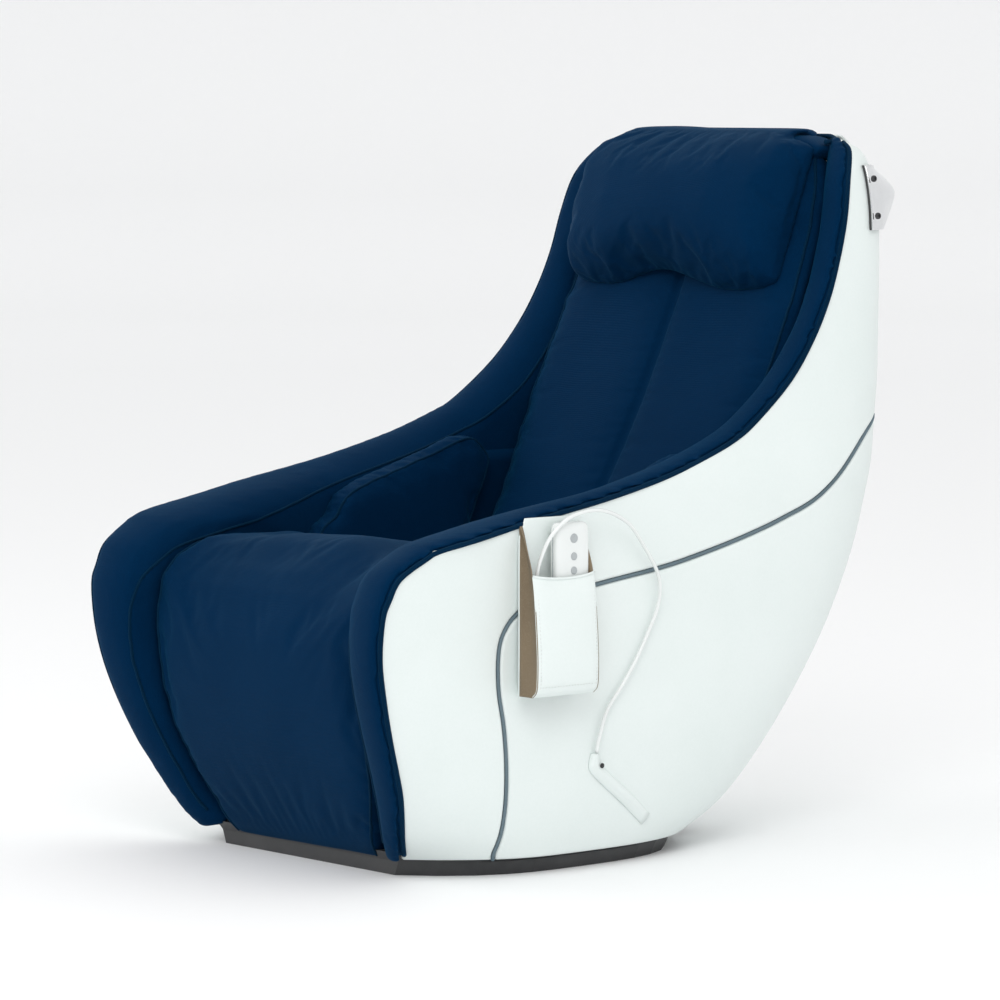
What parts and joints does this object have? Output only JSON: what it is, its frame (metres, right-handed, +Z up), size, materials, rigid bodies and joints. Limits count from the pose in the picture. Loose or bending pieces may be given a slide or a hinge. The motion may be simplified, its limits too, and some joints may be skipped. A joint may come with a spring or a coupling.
{
  "type": "massage chair",
  "caption": "Compact tub-shaped massage chair with padded rim, head pillow, travelling roller carriage, rear carry handle and a wired remote in a side pouch.",
  "frame": {"origin": "on the flat underside of the base plate, on the chair's middle plane between its two sides", "axes": "+Z up, the sitter faces -Y, +X is the sitter's left, the side with the remote pouch"},
  "size_m": [0.6999, 0.964, 0.9414],
  "materials": {
    "white_leatherette": "smooth, faint grain",
    "navy_fabric": "matte, fine weave",
    "grey_piping": "matte",
    "grey_plastic": "matte moulded",
    "black_plastic": "moulded, fine texture",
    "painted_steel": "black powder coat",
    "bare_steel": "zinc plated",
    "chrome": "polished",
    "rubber": "matte",
    "nylon": "natural nylon",
    "white_gloss_plastic": "glossy"
  },
  "bodies": {
    "root": {"side_panel_front_left": "white_leatherette", "side_panel_front_right": "white_leatherette", "side_panel_rear_left": "white_leatherette", "side_panel_rear_right": "white_leatherette", "rear_cover": "white_leatherette", "remote_pouch": "white_leatherette", "cable_guide": "white_leatherette", "remote_cord": "white_leatherette", "arm_roll_left": "navy_fabric", "arm_roll_right": "navy_fabric", "back_pad": "navy_fabric", "seat_cushion": "navy_fabric", "calf_pad": "navy_fabric", "seat_wall_pad_left": "navy_fabric", "seat_wall_pad_right": "navy_fabric", "seam_piping_left": "grey_piping", "seam_piping_right": "grey_piping", "base_plate": "black_plastic", "rear_handle_bar": "black_plastic", "air_pump": "black_plastic", "control_box": "black_plastic", "power_inlet": "black_plastic", "frame_side_left": "painted_steel", "frame_side_right": "painted_steel", "frame_leg_left": "painted_steel", "frame_leg_right": "painted_steel", "crossbar_front": "painted_steel", "crossbar_back": "painted_steel", "crossbar_top": "painted_steel", "transport_axle": "bare_steel", "handle_screw_upper_left": "bare_steel", "handle_screw_lower_left": "bare_steel", "handle_screw_upper_right": "bare_steel", "handle_screw_lower_right": "bare_steel", "guide_rail_left": "bare_steel", "guide_rail_right": "bare_steel", "handle_bracket_left": "chrome", "handle_bracket_right": "chrome", "airbag_left": "rubber", "airbag_right": "rubber", "valve_block": "nylon"},
    "wheel_left": {"transport_wheel_left": "rubber"},
    "wheel_right": {"transport_wheel_right": "rubber"},
    "carriage": {"carriage_frame": "painted_steel", "knead_motor": "black_plastic", "travel_motor": "black_plastic"},
    "pinion": {"pinion_shaft": "bare_steel"},
    "kneader": {"knead_shaft": "bare_steel"},
    "arm_left": {"knead_arm_left": "nylon"},
    "arm_right": {"knead_arm_right": "nylon"},
    "roller_ul": {"roller_upper_left": "rubber"},
    "roller_ll": {"roller_lower_left": "rubber"},
    "roller_ur": {"roller_upper_right": "rubber"},
    "roller_lr": {"roller_lower_right": "rubber"},
    "pillow": {"pillow": "navy_fabric"},
    "remote": {"remote_body": "white_gloss_plastic"},
    "power_key": {"button_power": "grey_plastic"},
    "up_key": {"button_up": "grey_plastic"},
    "down_key": {"button_down": "grey_plastic"},
    "rocker": {"power_rocker": "rubber"}
  },
  "joints": [
    {"name": "wheel_left_spin", "type": "hinge", "parent": "root", "child": "wheel_left", "pos_m": [0.125, 0.15, 0.041], "axis": [1, 0, 0], "continuous": true},
    {"name": "wheel_right_spin", "type": "hinge", "parent": "root", "child": "wheel_right", "pos_m": [-0.125, 0.15, 0.041], "axis": [1, 0, 0], "continuous": true},
    {"name": "carriage_travel", "type": "hinge", "parent": "root", "child": "carriage", "pos_m": [0, -1.635, 1.557], "axis": [1, 0, 0], "range_deg": [-3.9, 4.3]},
    {"name": "pinion_spin", "type": "hinge", "parent": "carriage", "child": "pinion", "pos_m": [0, 0.3208, 0.56557], "axis": [1, 0, 0], "continuous": true},
    {"name": "knead_spin", "type": "hinge", "parent": "carriage", "child": "kneader", "pos_m": [0, 0.32737, 0.59383], "axis": [1, 0, 0], "continuous": true},
    {"name": "arm_left_swing", "type": "hinge", "parent": "carriage", "child": "arm_left", "pos_m": [0.062, 0.32737, 0.59383], "axis": [1, 0, 0], "range_deg": [-6, 6]},
    {"name": "arm_right_swing", "type": "hinge", "parent": "carriage", "child": "arm_right", "pos_m": [-0.062, 0.32737, 0.59383], "axis": [1, 0, 0], "range_deg": [-6, 6]},
    {"name": "roller_upper_left_spin", "type": "hinge", "parent": "arm_left", "child": "roller_ul", "pos_m": [0.079, 0.33205, 0.6526], "axis": [1, 0, 0], "continuous": true},
    {"name": "roller_upper_right_spin", "type": "hinge", "parent": "arm_right", "child": "roller_ur", "pos_m": [-0.079, 0.33205, 0.6526], "axis": [1, 0, 0], "continuous": true},
    {"name": "roller_lower_left_spin", "type": "hinge", "parent": "arm_left", "child": "roller_ll", "pos_m": [0.079, 0.28374, 0.55418], "axis": [1, 0, 0], "continuous": true},
    {"name": "roller_lower_right_spin", "type": "hinge", "parent": "arm_right", "child": "roller_lr", "pos_m": [-0.079, 0.28374, 0.55418], "axis": [1, 0, 0], "continuous": true},
    {"name": "pillow_flip", "type": "hinge", "parent": "root", "child": "pillow", "pos_m": [0, 0.392, 0.952], "axis": [-1, 0, 0], "range_deg": [0, 180]},
    {"name": "remote_lift", "type": "slide", "parent": "root", "child": "remote", "axis": [0, 0, 1], "range_m": [0, 0.18]},
    {"name": "power_press", "type": "slide", "parent": "remote", "child": "power_key", "axis": [-1, 0, 0], "range_m": [0, 0.001], "stiffness_N_per_m": 300},
    {"name": "up_press", "type": "slide", "parent": "remote", "child": "up_key", "axis": [-1, 0, 0], "range_m": [0, 0.001], "stiffness_N_per_m": 300},
    {"name": "down_press", "type": "slide", "parent": "remote", "child": "down_key", "axis": [-1, 0, 0], "range_m": [0, 0.001], "stiffness_N_per_m": 300},
    {"name": "rocker_tilt", "type": "hinge", "parent": "root", "child": "rocker", "pos_m": [-0.092, 0.3845, 0.27], "axis": [1, 0, 0], "range_deg": [-8, 8]}
  ],
  "couplings": [
    {"joint": "pinion_spin", "follows": "carriage_travel", "ratio": 171.22}
  ]
}
